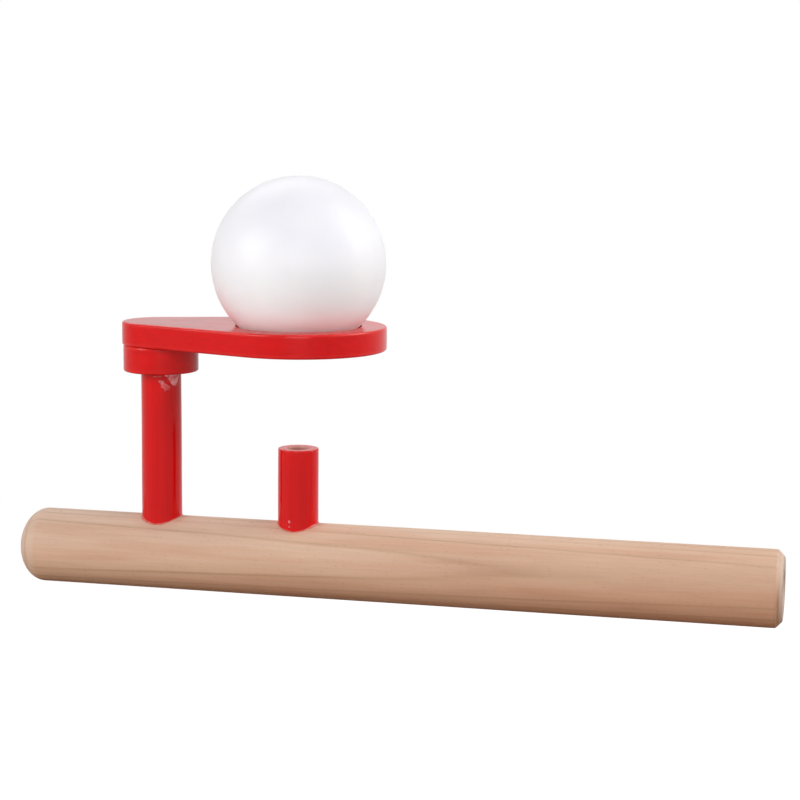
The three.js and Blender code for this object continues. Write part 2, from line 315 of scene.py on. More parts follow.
def bare_beech():
    """European beech, turned to a dowel, drilled and fine-sanded, with no finish: matt pinkish tan in soft
    bands, with growth lines that come out as long pointed arches, short ray flecks, fine fibre streaks and
    a trace of pink round the dowels' feet. Its upper side is painted cooler and its lower side warmer, as
    painted light. The attribute end_grain turns it to the paler and greyer wood of a sanded end with its open
    pores, and burnish to the brown line that a tool rubs on a chamfer, with painted shade in it."""
    material, tree, out = blank("bare_beech_sanded")
    end = add(tree, "ShaderNodeAttribute", attribute_name="end_grain").outputs["Fac"]
    side = add(tree, "ShaderNodeMath", {0: 1.0, 1: end}, operation="SUBTRACT")

    # Growth rings: shells round the pith, wavering slowly, stronger in some places than in others. The cross
    # product with the pith's direction is as long as the distance from it.
    spot = add(tree, "ShaderNodeTexCoord").outputs["Object"]
    from_pith = add(tree, "ShaderNodeVectorMath", {0: spot, 1: -PITH_DEPTH * PITH_FACING},
                    operation="SUBTRACT")
    turned_off = add(tree, "ShaderNodeVectorMath", {0: from_pith, 1: PITH_WAY}, operation="CROSS_PRODUCT")
    far = add(tree, "ShaderNodeVectorMath", {0: turned_off}, operation="LENGTH").outputs["Value"]
    count = add(tree, "ShaderNodeMath", {0: far, 1: 1 / RING_WIDTH}, operation="MULTIPLY")
    sway = add(tree, "ShaderNodeTexNoise",
               {"Vector": stretched(tree, 48 * MM, 9 * MM), "Scale": 1, "Detail": 2}).outputs["Fac"]
    waver = add(tree, "ShaderNodeMath", {0: sway, 1: RING_WAVER, 2: count}, operation="MULTIPLY_ADD")
    phase = add(tree, "ShaderNodeMath", {0: waver}, operation="FRACT")
    late = add(tree, "ShaderNodeValToRGB", {"Fac": phase},
               stops=[(0.0, 0.5), (0.08, 0.05), (0.5, 0.06), (0.8, 0.2), (0.9, 0.5), (0.95, 1.0),
                      (1.0, 0.7)])
    strength = add(tree, "ShaderNodeTexNoise",
                   {"Vector": stretched(tree, 70 * MM, 3.4 * MM), "Scale": 1, "Detail": 1}).outputs["Fac"]
    clear = add(tree, "ShaderNodeMapRange",
                {"Value": strength, "From Min": 0.4, "From Max": 0.62, "To Min": 0.4, "To Max": 0.85})
    shown = add(tree, "ShaderNodeMath", {0: late, 1: clear}, operation="MULTIPLY")
    lines = add(tree, "ShaderNodeMath", {0: shown, 1: side}, operation="MULTIPLY")

    # Ray flecks: thin ribbons that reach out from the pith, so they show as short dashes
    ray_cells = add(tree, "ShaderNodeTexVoronoi",
                    {"Vector": stretched(tree, 1.7 * MM, 1.3 * MM, 0.36 * MM), "Scale": 1})
    fleck = add(tree, "ShaderNodeValToRGB", {"Fac": ray_cells.outputs["Distance"]},
                stops=[(0.08, 1.0), (0.34, 0.0)])
    chance = add(tree, "ShaderNodeSeparateColor", {"Color": ray_cells.outputs["Color"]}).outputs["Red"]
    some = add(tree, "ShaderNodeValToRGB", {"Fac": chance}, stops=[(0.35, 0.0), (0.95, 0.36)])
    chosen = add(tree, "ShaderNodeMath", {0: fleck, 1: some}, operation="MULTIPLY")
    flecks = add(tree, "ShaderNodeMath", {0: chosen, 1: side}, operation="MULTIPLY")

    # Fibres: streaks of noise 0.34 mm across, since the real ones of 0.05 mm are too fine to show. Pores of
    # the end grain: dots in cells of 0.4 mm, where the real ones are 0.06 mm wide.
    fibre = add(tree, "ShaderNodeTexNoise",
                {"Vector": stretched(tree, 9 * MM, 0.34 * MM), "Scale": 1, "Detail": 4,
                 "Roughness": 0.6}).outputs["Fac"]
    patch = add(tree, "ShaderNodeTexNoise",
                {"Vector": stretched(tree, 34 * MM, 5 * MM), "Scale": 1, "Detail": 3}).outputs["Fac"]
    pore_cells = add(tree, "ShaderNodeTexVoronoi",
                     {"Vector": stretched(tree, 1.2 * MM, 0.4 * MM), "Scale": 1}).outputs["Distance"]
    dots = add(tree, "ShaderNodeValToRGB", {"Fac": pore_cells}, stops=[(0.16, 0.5), (0.36, 0.0)])
    pores = add(tree, "ShaderNodeMath", {0: dots, 1: end}, operation="MULTIPLY")

    # The colours of the side, from the palest wood to the darkest fleck
    pale = add(tree, "ShaderNodeValToRGB", {"Fac": patch},
               stops=[(0.34, colour("e0bba5")), (0.5, colour("e3bfa9")), (0.66, colour("e5c4ae"))])
    broad = add(tree, "ShaderNodeTexNoise",
                {"Vector": stretched(tree, 60 * MM, 2.6 * MM), "Scale": 1, "Detail": 2}).outputs["Fac"]
    band = add(tree, "ShaderNodeValToRGB", {"Fac": broad},
               stops=[(0.34, colour("f9f1ec")), (0.5, colour("ffffff")), (0.66, colour("fdfefc"))])
    streak = add(tree, "ShaderNodeValToRGB", {"Fac": fibre},
                 stops=[(0.3, 0.945), (0.55, 1.0), (0.75, 1.03)])
    banded = add(tree, "ShaderNodeMix", {SHARE: 1.0, FIRST: pale, SECOND: band}, **TINT).outputs[BLENDED]
    ringed = add(tree, "ShaderNodeMix", {SHARE: lines, FIRST: banded, SECOND: colour("c59e85")},
                 **OVER).outputs[BLENDED]
    streaked = add(tree, "ShaderNodeMix", {SHARE: 1.0, FIRST: ringed, SECOND: streak},
                   **TINT).outputs[BLENDED]
    flecked = add(tree, "ShaderNodeMix", {SHARE: flecks, FIRST: streaked, SECOND: colour("ac846b")},
                  **OVER).outputs[BLENDED]

    # Pink mixed into the wood round the dowels' feet, where the noise lets it
    near_post = near_dowel(tree, POST_X, POST_RADIUS, PINK_REACH)
    near_nozzle = near_dowel(tree, NOZZLE_X, NOZZLE_RADIUS, PINK_REACH)
    near_dowels = add(tree, "ShaderNodeMath", {0: near_post, 1: near_nozzle}, operation="MAXIMUM")
    pink_patches = add(tree, "ShaderNodeMapRange",
                   {"Value": patch, "From Min": 0.35, "From Max": 0.6, "To Min": 0.35, "To Max": 0.08})
    pink_share = add(tree, "ShaderNodeMath", {0: near_dowels, 1: pink_patches}, operation="MULTIPLY")
    pinked = add(tree, "ShaderNodeMix", {SHARE: pink_share, FIRST: flecked, SECOND: colour("d08878")},
                 **OVER).outputs[BLENDED]

    # The wood turns a shade warmer and darker towards the mouth's end than at the dome. Painted light: the
    # upper side is tinted cooler and paler and the lower side warmer, for cool light from above and warm
    # light from below.
    split_spot = add(tree, "ShaderNodeSeparateXYZ", {"Vector": spot})
    held = add(tree, "ShaderNodeMapRange",
               {"Value": split_spot.outputs["X"], "From Min": -110 * MM, "From Max": 50 * MM})
    # Painted light by height: cooler and paler at the top, warmer below
    painted_light_share = add(tree, "ShaderNodeMapRange",
                  {"Value": split_spot.outputs["Z"], "From Min": -PIPE_RADIUS, "From Max": PIPE_RADIUS})
    warmer_to_mouth = add(tree, "ShaderNodeMix", {SHARE: held, FIRST: colour("ffffff"), SECOND: colour("f7ece5")},
                  **OVER).outputs[BLENDED]
    painted_cool_top_warm_bottom = add(tree, "ShaderNodeMix", {SHARE: painted_light_share, FIRST: colour("ffeeda"), SECOND: colour("f7ffff")},
                **OVER).outputs[BLENDED]
    touched = add(tree, "ShaderNodeMix", {SHARE: 1.0, FIRST: pinked, SECOND: warmer_to_mouth},
                  **TINT).outputs[BLENDED]
    warmed = add(tree, "ShaderNodeMix", {SHARE: 1.0, FIRST: touched, SECOND: painted_cool_top_warm_bottom}, **TINT).outputs[BLENDED]

    # The ends
    cut = add(tree, "ShaderNodeValToRGB", {"Fac": end},
              stops=[(0.7, colour("d3beae")), (0.98, colour("b49f91"))])
    pored = add(tree, "ShaderNodeMix", {SHARE: pores, FIRST: cut, SECOND: colour("a58a78")},
                **OVER).outputs[BLENDED]
    ended = add(tree, "ShaderNodeMix", {SHARE: end, FIRST: warmed, SECOND: pored}, **OVER).outputs[BLENDED]
    rubbed = add(tree, "ShaderNodeAttribute", attribute_name="burnish").outputs["Fac"]
    browned = add(tree, "ShaderNodeMix", {SHARE: rubbed, FIRST: ended, SECOND: colour("96623f")},
                  **OVER).outputs[BLENDED]

    rough = add(tree, "ShaderNodeMapRange",
                {"Value": fibre, "From Min": 0.3, "From Max": 0.7, "To Min": 0.68, "To Max": 0.58})
    relief = add(tree, "ShaderNodeMath", {0: flecks, 1: -0.5, 2: fibre}, operation="MULTIPLY_ADD")
    sunk = add(tree, "ShaderNodeMath", {0: pores, 1: -1.0, 2: relief}, operation="MULTIPLY_ADD")
    bump = add(tree, "ShaderNodeBump", {"Height": sunk, "Strength": 1.0, "Distance": 0.018 * MM})
    surface = add(tree, "ShaderNodeBsdfPrincipled",
                  {"Base Color": browned, "Roughness": rough, "IOR": 1.42, "Normal": bump})
    tree.links.new(surface.outputs[0], out.inputs["Surface"])
    return material


def red_lacquer(name, grain):
    """Beech dipped in opaque red lacquer and hung to dry: a semi-gloss even red that pulls thin and a little
    lighter over edges, sinks faintly into the grain under it, and has a fine orange peel. grain is the axis
    that the wood's fibres run along."""
    material, tree, out = blank(name)
    sizes = {"X": (26 * MM, 0.9 * MM, 0.9 * MM), "Z": (0.9 * MM, 0.9 * MM, 26 * MM)}[grain]
    fibre = add(tree, "ShaderNodeTexNoise",
                {"Vector": stretched(tree, *sizes), "Scale": 1, "Detail": 2, "Roughness": 0.5})
    cloud = add(tree, "ShaderNodeTexNoise",
                {"Vector": stretched(tree, 7 * MM, 7 * MM), "Scale": 1, "Detail": 3, "Roughness": 0.5})
    peel = add(tree, "ShaderNodeTexNoise",
               {"Vector": stretched(tree, 0.9 * MM, 0.9 * MM), "Scale": 1, "Detail": 1, "Roughness": 0.4})
    streak = add(tree, "ShaderNodeValToRGB", {"Fac": fibre.outputs["Fac"]},
                 stops=[(0.28, colour("d00406")), (0.5, colour("d60507")), (0.74, colour("db0709"))])
    blotch = add(tree, "ShaderNodeValToRGB", {"Fac": cloud.outputs["Fac"]},
                 stops=[(0.3, 0.975), (0.7, 1.025)])
    body = add(tree, "ShaderNodeMix", {SHARE: 1.0, FIRST: streak, SECOND: blotch}, **TINT)
    edge = add(tree, "ShaderNodeAttribute", attribute_name="edge")
    broken = add(tree, "ShaderNodeMapRange",
                 {"Value": cloud.outputs["Fac"], "From Min": 0.35, "From Max": 0.65,
                  "To Min": 0.2, "To Max": 0.6})
    thin = add(tree, "ShaderNodeMath", {0: edge.outputs["Fac"], 1: broken}, operation="MULTIPLY")
    worn = add(tree, "ShaderNodeMix",
               {SHARE: thin, FIRST: body.outputs[BLENDED], SECOND: colour("e63c36")}, **OVER)
    rough = add(tree, "ShaderNodeMapRange",
                {"Value": cloud.outputs["Fac"], "From Min": 0.3, "From Max": 0.7,
                 "To Min": 0.16, "To Max": 0.2})
    relief = add(tree, "ShaderNodeMath", {0: peel.outputs["Fac"], 1: 0.25, 2: fibre.outputs["Fac"]},
                 operation="MULTIPLY_ADD")
    bump = add(tree, "ShaderNodeBump", {"Height": relief, "Strength": 1.0, "Distance": 0.006 * MM})
    surface = add(tree, "ShaderNodeBsdfPrincipled",
                  {"Base Color": worn.outputs[BLENDED], "Roughness": rough, "IOR": 1.32, "Normal": bump})
    tree.links.new(surface.outputs[0], out.inputs["Surface"])
    return material


def drilled_beech():
    """The nozzle's bore, drilled before the dip: pale wood fuzz wiped almost clean at its rim, going to a
    darker red deeper down, which is painted shade and painted red light thrown about inside the bore."""
    material, tree, out = blank("drilled_beech_painted_shade")
    turns = add(tree, "ShaderNodeTexNoise",
                {"Vector": stretched(tree, 1.2 * MM, 1.2 * MM, 0.25 * MM), "Scale": 1, "Detail": 3})
    spot = add(tree, "ShaderNodeTexCoord").outputs["Object"]
    height = add(tree, "ShaderNodeSeparateXYZ", {"Vector": spot}).outputs["Z"]
    near_rim = add(tree, "ShaderNodeMapRange",
                   {"Value": height, "From Min": nozzle_high.z - 1.4 * MM, "From Max": nozzle_high.z})
    broken = add(tree, "ShaderNodeMath", {0: turns.outputs["Fac"], 1: 0.4, 2: near_rim},
                 operation="MULTIPLY_ADD")
    # Painted shade and painted red reflected light: darker red deeper in the bore, pale wood at the rim
    tone = add(tree, "ShaderNodeValToRGB", {"Fac": broken},
               stops=[(0.2, colour("8e302d")), (0.7, colour("b86a60")), (1.0, colour("c8978a"))])
    bump = add(tree, "ShaderNodeBump",
               {"Height": turns.outputs["Fac"], "Strength": 1.0, "Distance": 0.02 * MM})
    surface = add(tree, "ShaderNodeBsdfPrincipled",
                  {"Base Color": tone, "Roughness": 0.7, "IOR": 1.5, "Normal": bump})
    tree.links.new(surface.outputs[0], out.inputs["Surface"])
    return material


def blown_plastic():
    """A blown ball of thin white plastic: a cool white with a trace of violet, a soft wide gloss, light that
    soaks right through the thin wall, faint waves from the mould and fine rubbed patches. Its colour is
    painted a shade lighter on its lower side than at its top: painted light, for the light that comes in
    at the top of the hollow ball and out again below."""
    material, tree, out = blank("blown_white_plastic")
    wave = add(tree, "ShaderNodeTexNoise",
               {"Vector": stretched(tree, 9 * MM, 9 * MM), "Scale": 1, "Detail": 2, "Roughness": 0.4})
    rubbed = add(tree, "ShaderNodeTexNoise",
                 {"Vector": stretched(tree, 4 * MM, 4 * MM), "Scale": 1, "Detail": 2, "Roughness": 0.5})
    tone = add(tree, "ShaderNodeValToRGB", {"Fac": wave.outputs["Fac"]},
               stops=[(0.3, colour("f5f5fc")), (0.7, colour("f9f9ff"))])
    spot = add(tree, "ShaderNodeTexCoord").outputs["Object"]
    height = add(tree, "ShaderNodeSeparateXYZ", {"Vector": spot}).outputs["Z"]
    sunk = add(tree, "ShaderNodeMapRange",
               {"Value": height, "From Min": ball_high.z, "From Max": ball_low.z})
    # Painted light: the colour goes from a shade darker at the top to lighter below
    glow = add(tree, "ShaderNodeValToRGB", {"Fac": sunk},
               stops=[(0.1, colour("f3f3f3")), (0.75, colour("fefeff"))])
    body = add(tree, "ShaderNodeMix", {SHARE: 1.0, FIRST: tone, SECOND: glow}, **TINT)
    rough = add(tree, "ShaderNodeMapRange",
                {"Value": rubbed.outputs["Fac"], "From Min": 0.3, "From Max": 0.7,
                 "To Min": 0.36, "To Max": 0.44})
    bump = add(tree, "ShaderNodeBump",
               {"Height": wave.outputs["Fac"], "Strength": 1.0, "Distance": 0.03 * MM})
    surface = add(tree, "ShaderNodeBsdfPrincipled",
                  {"Base Color": body.outputs[BLENDED], "Roughness": rough, "IOR": 1.35,
                   "Subsurface Weight": 1.0, "Subsurface Scale": 16 * MM,
                   "Subsurface Radius": (1.0, 0.97, 1.0), "Normal": bump})
    tree.links.new(surface.outputs[0], out.inputs["Surface"])
    return material


def dried_glue(name, through, cloudy, rough):
    """Clear wood glue squeezed out of a joint and dried to a soft gloss. Where the attribute milk is 0 it is
    so thin that the colour through it shows, and where it is 1 it is thick or torn and has the cloudy colour,
    stained by the lacquer that it softened."""
    material, tree, out = blank(name)
    cloud = add(tree, "ShaderNodeTexNoise",
                {"Vector": stretched(tree, 1.1 * MM, 1.1 * MM), "Scale": 1, "Detail": 3, "Roughness": 0.6})
    milk = add(tree, "ShaderNodeAttribute", attribute_name="milk")
    uneven = add(tree, "ShaderNodeMapRange",
                 {"Value": cloud.outputs["Fac"], "From Min": 0.36, "From Max": 0.64,
                  "To Min": 0.25, "To Max": 1.4})
    thick = add(tree, "ShaderNodeMath", {0: milk.outputs["Fac"], 1: uneven},
                operation="MULTIPLY", use_clamp=True)
    tone = add(tree, "ShaderNodeMix",
               {SHARE: thick, FIRST: colour(through), SECOND: colour(cloudy)}, **OVER).outputs[BLENDED]
    bump = add(tree, "ShaderNodeBump",
               {"Height": cloud.outputs["Fac"], "Strength": 1.0, "Distance": 0.006 * MM})
    surface = add(tree, "ShaderNodeBsdfPrincipled",
                  {"Base Color": tone, "Roughness": rough, "IOR": 1.47, "Normal": bump})
    tree.links.new(surface.outputs[0], out.inputs["Surface"])
    return material


def mark(piece, name, values):
    """Stores one number to each vertex for a material to read."""
    layer = piece.data.attributes.new(name, "FLOAT", "POINT")
    layer.data.foreach_set("value", np.asarray(values, np.float32))


def places(piece):
    """The piece's vertices as rows of x, y and z."""
    flat = np.empty(3 * len(piece.data.vertices))
    piece.data.vertices.foreach_get("co", flat)
    return flat.reshape(-1, 3)


# How far apart the rings of points on the pipe lie, along it and at its mouth, and how far hand sanding left
# the barrel and its ends out of true
PIPE_STEP = 1.6 * MM
MOUTH_STEP = 0.14 * MM
BARREL_WAVER = 0.012 * MM
END_WAVER = 0.05 * MM


def make_pipe():
    """The pipe's section runs from the dome's tip, x = depth (1 - cos a) and r = R sin a, along the barrel,
    over the chamfer and the end face, and back up the blow bore to the drill's point."""
    angle = np.linspace(0, QUARTER, 28)
    dome = np.stack([pipe_low.x + DOME_DEPTH * (1 - np.cos(angle)), PIPE_RADIUS * np.sin(angle)], -1)
    dome[0, 1] = 0
    dome_end = pipe_low.x + DOME_DEPTH
    mouth = pipe_high.x
    bore_end = NOZZLE_X - BLOW_BORE_PAST_NOZZLE
    corners = [
        (dome_end, PIPE_RADIUS),
        (mouth - MOUTH_CHAMFER, PIPE_RADIUS),
        (mouth, PIPE_RADIUS - MOUTH_CHAMFER),
        (mouth, BLOW_BORE_RADIUS + BLOW_BORE_EASE),
        (mouth - BLOW_BORE_EASE, BLOW_BORE_RADIUS),
        (bore_end, BLOW_BORE_RADIUS),
        (bore_end - DRILL_POINT, 0),
    ]
    rounds = np.array([0, 0.5, 0.45, 0.15, 0.2, 0, 0]) * MM
    section = divided(np.concatenate([dome[:-1], eased(corners, rounds)]), PIPE_STEP)
    at_mouth = np.flatnonzero(section[:, 0] > mouth - MOUTH_CHAMFER - 0.3 * MM)
    fine = divided(section[at_mouth[0]:at_mouth[-1] + 1], MOUTH_STEP)
    section = np.concatenate([section[:at_mouth[0]], fine, section[at_mouth[-1] + 1:]])
    section[-1, 1] = 0

    def waver(along, angle):
        """Slow waves round and along the pipe, which grow over the last stretch at either end."""
        slow = np.sin(2 * angle + 41 * along) + 0.7 * np.sin(3 * angle - 97 * along + 1.3)
        near_mouth = np.clip((along - mouth + 3 * MM) / (3 * MM), 0, 1)
        near_tip = np.clip((dome_end - along) / DOME_DEPTH, 0, 1)
        return (BARREL_WAVER + END_WAVER * (near_mouth + near_tip)) * slow

    pipe = turned("beech_pipe", section, (0, 0, 0), along="X", waver=waver)
    seats = []
    for name, x, radius, low in (
        ("post_seat", POST_X, POST_RADIUS + SEAT_SLACK, post_low.z - SEAT_SLACK),
        ("nozzle_seat", NOZZLE_X, NOZZLE_RADIUS + SEAT_SLACK, nozzle_low.z - SEAT_SLACK),
        ("port", NOZZLE_X, NOZZLE_BORE_RADIUS, 0.0),
    ):
        high = PIPE_RADIUS + 2 * MM
        profile = [(low, 0), (low, radius), (high, radius), (high, 0)]
        seats.append(turned(name, profile, (x, 0, 0), sides=128))
    cut_from(pipe, *seats)

    # The end grain comes out over the chamfer and the dome. A tool browned a line round the chamfer and a
    # faint one round the dome. The chamfer's line is painted shade as well as a tool mark: it fades towards
    # the top and is strongest on the lower side.
    along, side, rise = places(pipe).T
    bored = np.hypot(side, rise) < BLOW_BORE_RADIUS + 0.1 * MM
    chamfered = np.clip((along - mouth + MOUTH_CHAMFER) / MOUTH_CHAMFER, 0, 1)
    domed = np.clip((dome_end - along) / DOME_DEPTH, 0, 1)
    ended = np.where(bored, 0.5, chamfered ** 1.5 + 0.62 * domed ** 0.5)
    # Painted shade: the chamfer's brown line fades towards the top of the pipe
    ring = np.exp(-((chamfered - 0.4) / 0.2) ** 2) * np.clip((4 * MM - rise) / (5 * MM), 0.05, 1)
    tooled = 0.3 * np.exp(-((domed - 0.45) / 0.05) ** 2)
    mark(pipe, "end_grain", ended)
    mark(pipe, "burnish", np.where(bored, 0.25, 0.6 * ring + tooled * (along < dome_end)))
    dress(pipe, "pipe", "bare_beech", ["pipe_body"], bare_beech())


def run_of(low, high, radius):
    """The section of a dowel with softened ends."""
    corners = [(low, 0), (low, radius), (high, radius), (high, 0)]
    section = divided(eased(corners, np.array([0, 1, 1, 0]) * DOWEL_END_ROUND), 1 * MM)
    section[[0, -1], 1] = 0
    return section


# How far lacquer swells as it dries, and how wide it pulls thin along an edge
LACQUER_SWELL = 0.018 * MM
THIN_EDGE = 0.8 * MM


def drips(height, angle):
    """Two slow waves of lacquer, twice and three times round a piece, that also turn along it."""
    return LACQUER_SWELL * (np.sin(2 * angle + 90 * height) + np.sin(3 * angle - 210 * height + 0.8))


def make_post(lacquer):
    """The dowel that carries the plate."""
    post = turned("post_dowel", run_of(post_low.z, post_high.z, POST_RADIUS), (POST_X, 0, 0), waver=drips)
    mark(post, "edge", np.zeros(len(post.data.vertices)))
    dress(post, "pipe", "red_lacquer", ["post"], lacquer)


def make_collar(lacquer):
    """A bored disc: a square section with its outer edges eased, swept round the post."""
    inner = POST_RADIUS + SEAT_SLACK
    low, high = collar_low.z, collar_high.z - COLLAR_UNDER_PLATE
    corners = [(low, inner), (low, COLLAR_RADIUS), (high, COLLAR_RADIUS), (high, inner)]
    section = eased(corners, np.array([0, 1, 1, 0]) * COLLAR_EDGE_ROUND, closed=True)
    section = divided(np.concatenate([section, section[:1]]), 0.9 * MM)[:-1]
    collar = turned("collar_disc", section, (POST_X, 0, 0), closed=True, waver=drips)
    spot = places(collar)
    radius = np.hypot(spot[:, 0] - POST_X, spot[:, 1])
    near_edge = np.minimum(np.abs(spot[:, 2] - low), np.abs(spot[:, 2] - high))
    mark(collar, "edge", np.clip(1 - near_edge / THIN_EDGE, 0, 1) * (radius > COLLAR_RADIUS - THIN_EDGE))
    dress(collar, "pipe", "red_lacquer", ["collar"], lacquer)


def make_nozzle(lacquer, bore_wood):
    """A bored dowel with a rounded rim. Its bore wall takes the second material."""
    low, high = nozzle_low.z, nozzle_high.z
    corners = [(low, NOZZLE_BORE_RADIUS), (low, NOZZLE_RADIUS),
               (high, NOZZLE_RADIUS), (high, NOZZLE_BORE_RADIUS)]
    rounds = np.array([0, 0, NOZZLE_RIM_ROUND, NOZZLE_BORE_EASE])
    section = eased(corners, rounds, closed=True, steps=9)
    section = divided(np.concatenate([section, section[:1]]), 0.9 * MM)[:-1]
    nozzle = turned("nozzle_dowel", section, (NOZZLE_X, 0, 0), closed=True, waver=drips)
    mark(nozzle, "edge", 0.45 * np.clip(1 - (high - places(nozzle)[:, 2]) / THIN_EDGE, 0, 1))
    centres = np.empty(3 * len(nozzle.data.polygons))
    nozzle.data.polygons.foreach_get("center", centres)
    centres = centres.reshape(-1, 3)
    bored = np.hypot(centres[:, 0] - NOZZLE_X, centres[:, 1]) < NOZZLE_BORE_RADIUS + 0.15 * MM
    dress(nozzle, "pipe", "red_lacquer", ["nozzle"], lacquer, bore_wood)
    nozzle.data.polygons.foreach_set("material_index", bored.astype(np.int32))


def make_plate(lacquer):
    """The teardrop. Its outline is two arcs joined by their common tangents: a point lies at its centre, on
    the line between the two arcs' centres, plus its radius along the outward normal. A row of the grid is
    that outline drawn in by some depth, or the round hole drawn out by some depth, or a mix of both on the
    flat faces, at its own height. The rows run up the rim, over the top, down the hole and back below."""
    steps = 64
    reach = NOZZLE_X - POST_X
    tangent = np.arccos((PLATE_NARROW_RADIUS - PLATE_WIDE_RADIUS) / reach)
    wide = np.linspace(-tangent, tangent, 3 * steps, endpoint=False)
    narrow = np.linspace(tangent, 2 * np.pi - tangent, 2 * steps, endpoint=False)
    slide = np.linspace(0, 1, steps, endpoint=False)
    level = np.ones(steps)
    normal = np.concatenate([wide, tangent * level, narrow, -tangent * level])
    share = np.concatenate([np.zeros(len(wide)), slide, np.ones(len(narrow)), 1 - slide])
    centre = NOZZLE_X - share * reach
    radius = PLATE_WIDE_RADIUS + share * (PLATE_NARROW_RADIUS - PLATE_WIDE_RADIUS)

    low, high = plate_low.z, plate_high.z
    bend = np.linspace(0, QUARTER, 8)
    out_in = PLATE_EDGE_ROUND * (1 - np.cos(bend))
    out_up = PLATE_EDGE_ROUND * (1 - np.sin(bend))
    hole_in = PLATE_HOLE_ROUND * (1 - np.cos(bend))
    hole_up = PLATE_HOLE_ROUND * (1 - np.sin(bend))
    side = np.linspace(low + PLATE_EDGE_ROUND, high - PLATE_EDGE_ROUND, 9)[1:-1]
    wall = np.linspace(high - PLATE_HOLE_ROUND, low + PLATE_HOLE_ROUND, 9)[1:-1]
    over = np.array([0.012, 0.05, 0.2, 0.4, 0.6, 0.8, 0.95, 0.988])

    mix = np.concatenate([0 * bend, 0 * side, 0 * bend, over,
                          0 * bend + 1, 0 * wall + 1, 0 * bend + 1, over[::-1]])
    depth = np.concatenate([out_in[::-1], 0 * side, out_in, 0 * over + PLATE_EDGE_ROUND, hole_in[::-1],
                            0 * wall, hole_in, 0 * over + PLATE_EDGE_ROUND])
    rise = np.concatenate([low + out_up[::-1], side, high - out_up, 0 * over + high, high - hole_up[::-1],
                           wall, low + hole_up, 0 * over + low])
    outer_depth = np.where(mix == 0, depth, PLATE_EDGE_ROUND)[:, None]
    hole_depth = np.where(mix == 1, depth, PLATE_HOLE_ROUND)[:, None]
    outer_x = centre + (radius - outer_depth) * np.cos(normal)
    outer_y = (radius - outer_depth) * np.sin(normal)
    toward = np.arctan2(outer_y[0], outer_x[0] - NOZZLE_X)
    hole_x = NOZZLE_X + (PLATE_HOLE_RADIUS + hole_depth) * np.cos(toward)
    hole_y = (PLATE_HOLE_RADIUS + hole_depth) * np.sin(toward)
    mix = mix[:, None]
    grid = np.stack([(1 - mix) * outer_x + mix * hole_x, (1 - mix) * outer_y + mix * hole_y,
                     rise[:, None] + 0 * outer_x], -1)
    plate = skin("ball_plate_teardrop", grid, closed_rows=True)
    seat_low, seat_high, seat_radius = low - 1 * MM, post_high.z + SEAT_SLACK, POST_RADIUS + SEAT_SLACK
    profile = [(seat_low, 0), (seat_low, seat_radius), (seat_high, seat_radius), (seat_high, 0)]
    cut_from(plate, turned("head_seat", profile, (POST_X, 0, 0), sides=128))
    spot = places(plate)
    height = np.minimum(spot[:, 2] - low, high - spot[:, 2])
    share = np.clip((NOZZLE_X - spot[:, 0]) / reach, 0, 1)
    middle = np.hypot(spot[:, 0] - (NOZZLE_X - share * reach), spot[:, 1])
    rim = PLATE_WIDE_RADIUS + share * (PLATE_NARROW_RADIUS - PLATE_WIDE_RADIUS) - middle
    mark(plate, "edge", np.clip(1 - height / (0.9 * MM), 0, 1) * np.clip(1 - rim / (1.2 * MM), 0, 1))
    dress(plate, "pipe", "red_lacquer", ["ball_plate"], lacquer)


# The ball's weld line: how far it stands out, and how wide it is as an angle seen from the ball's middle
WELD_HEIGHT = 0.012 * MM
WELD_WIDTH = 0.012


def make_ball(plastic):
    """One hollow ball seen from outside: height = R cos a and radius = R sin a down from the top, with a
    hair-fine weld line round its middle."""
    angle = np.linspace(0, np.pi, 181)
    size = BALL_RADIUS + WELD_HEIGHT * np.exp(-((angle - QUARTER) / WELD_WIDTH) ** 2)
    section = np.stack([size * np.cos(angle), size * np.sin(angle)], -1)
    section[[0, -1], 1] = 0
    ball = turned("float_ball", section, (NOZZLE_X, 0, BALL_Z), sides=256)
    dress(ball, "ball", "white_plastic", ["ball_lower_shell", "ball_upper_shell"], plastic)


# The side of the post that the photograph shows, as an angle round the post from +X, the drops' turn to the
# left of that, and how deep under the pipe's skin the glue round a dowel's foot goes
FRONT = np.arctan2(CAMERA_PLACE.y, CAMERA_PLACE.x - POST_X)
DROP_TURN = np.radians(29.5)
FOOT_DEPTH = 0.35 * MM


def foot_bead(name, node, x, dowel_radius, glue, phase):
    """Glue in the corner between a dowel and the round pipe. Round the dowel at angle a the bead reaches
    width w(a) out along the pipe and height h(a) up the dowel, both uneven; its skin is the hollow curve
    lift = h (1 - t)^2 from the dowel, t = 0, to its foot, t = 1, over a pipe of height sqrt(R^2 - y^2). Its
    stain fades from the lacquer's red to the wood's pink with t."""
    angle = np.linspace(0, 2 * np.pi, 160, endpoint=False)[None, :]
    swell = 0.5 * np.sin(2 * angle + phase) + 0.3 * np.sin(5 * angle + 2 * phase) + 0.2 * np.sin(9 * angle)
    width = (0.5 + 0.2 * swell) * MM
    tall = (0.34 + 0.16 * swell) * MM
    share = np.linspace(0, 1, 12)[:, None]
    out = -0.1 * MM + share * (width + 0.1 * MM)
    lift = tall * (1 - share) ** 2 - 0.06 * MM * share
    under_out = out[[-1, 0]]
    under_lift = 0 * under_out - FOOT_DEPTH
    out = dowel_radius + np.concatenate([out, under_out])
    lift = np.concatenate([lift, under_lift])
    across, along = out * np.sin(angle), out * np.cos(angle)
    grid = np.stack([x + along, across, np.sqrt(PIPE_RADIUS ** 2 - across ** 2) + lift], -1)
    bead = skin(name, grid, closed_rows=True)
    milk = np.concatenate([share, share[[-1, 0]]]) + 0 * angle
    mark(bead, "milk", milk.ravel())
    dress(bead, "pipe", "clear_glue", [node], glue)


